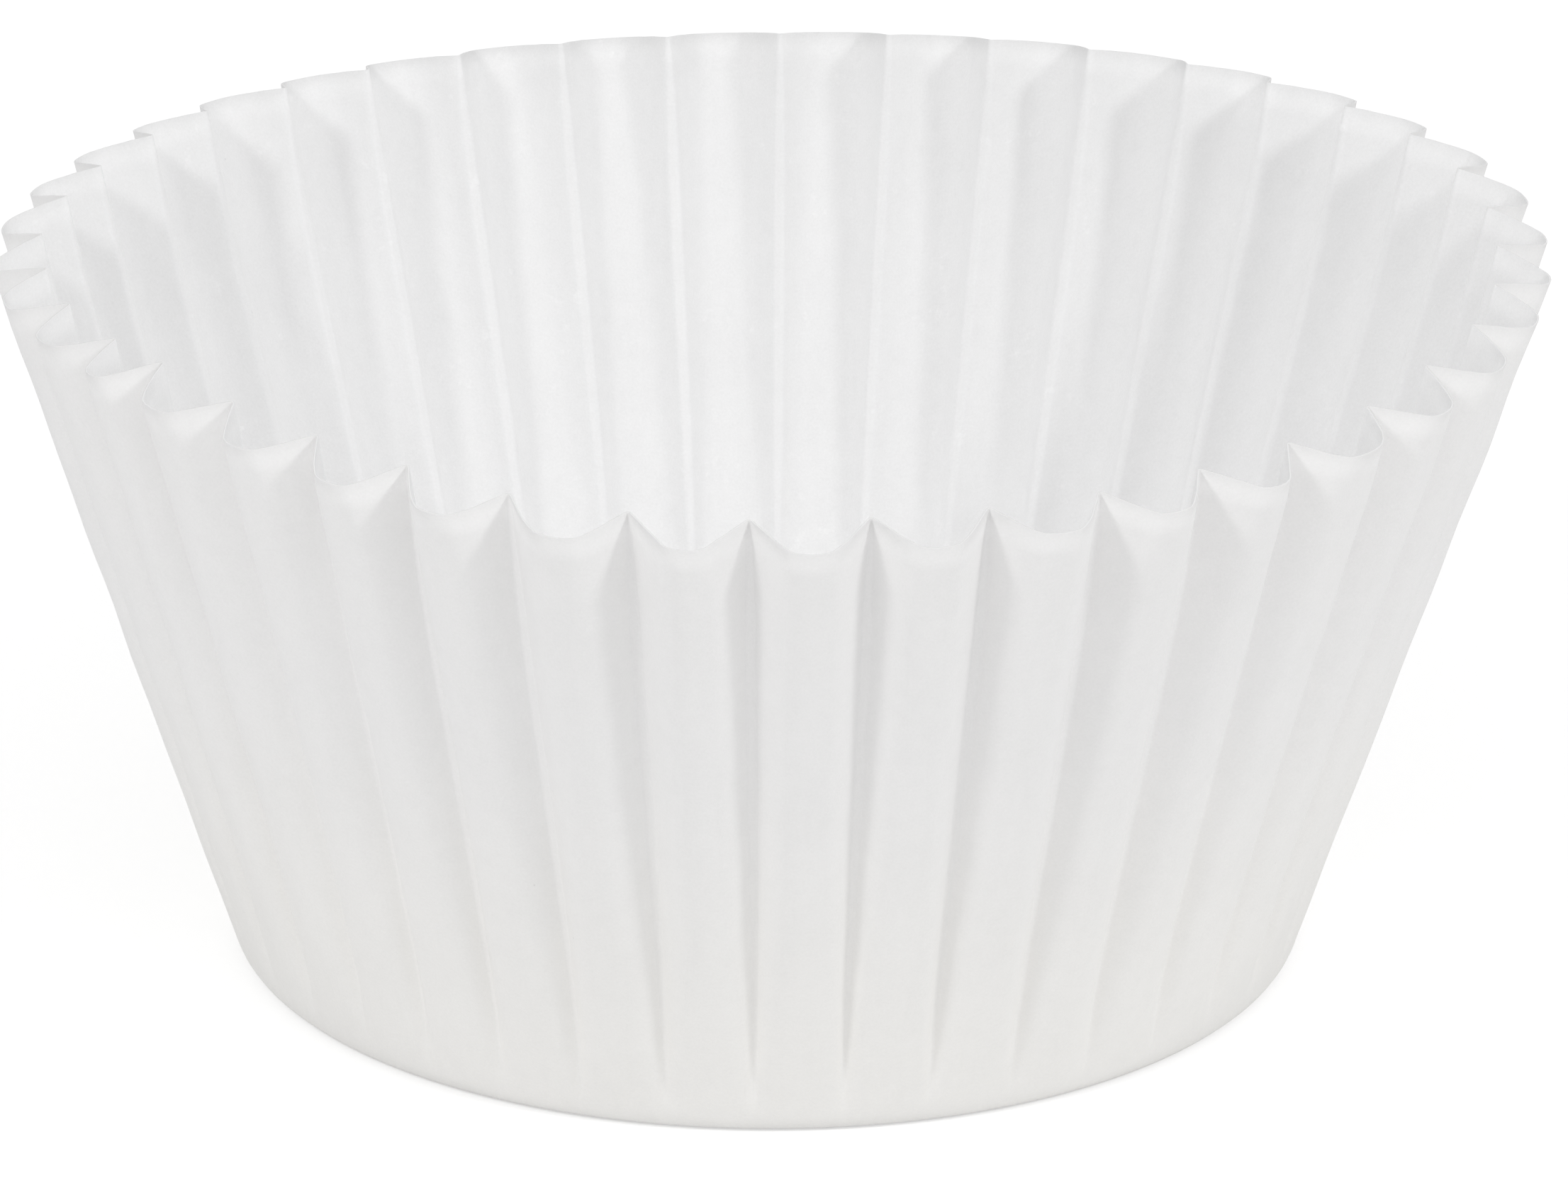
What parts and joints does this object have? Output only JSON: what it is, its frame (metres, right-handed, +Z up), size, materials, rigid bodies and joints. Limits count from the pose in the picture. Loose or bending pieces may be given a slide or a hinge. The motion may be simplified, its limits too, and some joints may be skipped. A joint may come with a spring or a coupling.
{
  "type": "paper baking cup",
  "caption": "White paper baking cup with a flat round base and a flared, fluted wall that ends in a scalloped rim, made to line a muffin tin.",
  "frame": {"origin": "centre of the underside of the base, on the surface the cup stands on", "axes": "+Z up along the cup's axis, with a flute's valley on +X"},
  "size_m": [0.0728, 0.0728, 0.0337],
  "materials": {
    "paper": "matt, uncoated"
  },
  "bodies": {
    "root": {"baking_cup": "paper"}
  },
  "joints": []
}
